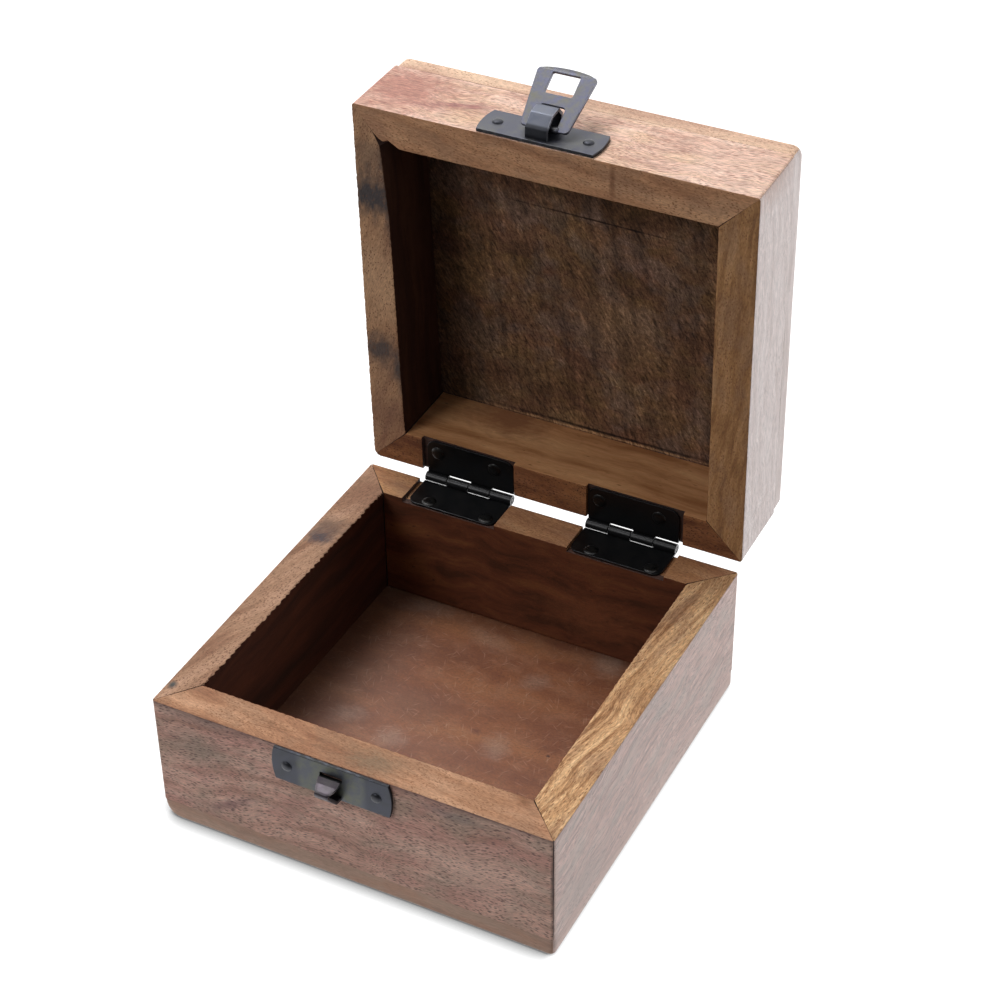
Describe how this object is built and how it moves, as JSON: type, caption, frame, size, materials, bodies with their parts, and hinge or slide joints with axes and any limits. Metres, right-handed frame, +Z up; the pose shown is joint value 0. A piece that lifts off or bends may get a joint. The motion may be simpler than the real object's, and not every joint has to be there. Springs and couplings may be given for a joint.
{
  "type": "hinged wooden spice box",
  "caption": "Small square wooden box with mitred boards, a hinged lid on nailed butt hinges, and a hasp clasp with its catch on the front.",
  "frame": {"origin": "centre of the underside of the base", "axes": "+X to the right seen from the clasp side, +Y to the hinges, +Z up"},
  "size_m": [0.1, 0.1319, 0.147],
  "materials": {
    "board_wood": "sanded open-pored hardwood, unvarnished, reddish brown",
    "panel_wood": "sanded open-pored hardwood panel, unvarnished, brown",
    "hinge_steel": "blackened sheet steel with a soft sheen",
    "clasp_steel": "aged blue-grey sheet steel, worn at its edges",
    "nail_steel": "blackened domed nail heads"
  },
  "bodies": {
    "base": {"base_panel": "panel_wood", "base_front_board": "board_wood", "base_back_board": "board_wood", "base_left_board": "board_wood", "base_right_board": "board_wood", "hinge_left_base_leaf": "hinge_steel", "hinge_left_pin": "hinge_steel", "hinge_left_base_nails": "nail_steel", "hinge_right_base_leaf": "hinge_steel", "hinge_right_pin": "hinge_steel", "hinge_right_base_nails": "nail_steel", "catch_plate": "clasp_steel", "catch_nails": "nail_steel"},
    "lid": {"lid_panel": "panel_wood", "lid_front_board": "board_wood", "lid_back_board": "board_wood", "lid_left_board": "board_wood", "lid_right_board": "board_wood", "hinge_left_lid_leaf": "hinge_steel", "hinge_left_lid_nails": "nail_steel", "hinge_right_lid_leaf": "hinge_steel", "hinge_right_lid_nails": "nail_steel", "clasp_lid_plate": "clasp_steel", "clasp_lid_nails": "nail_steel"},
    "hasp": {"hasp": "clasp_steel"}
  },
  "joints": [
    {"name": "lid_hinge", "type": "hinge", "parent": "base", "child": "lid", "pos_m": [0, 0.0514, 0.03515], "axis": [-1, 0, 0], "range_deg": [-88.7, 91.3]},
    {"name": "hasp_hinge", "type": "hinge", "parent": "lid", "child": "hasp", "pos_m": [-0.003, 0.05319, 0.13902], "axis": [-1, 0, 0], "range_deg": [-149, 0]}
  ]
}
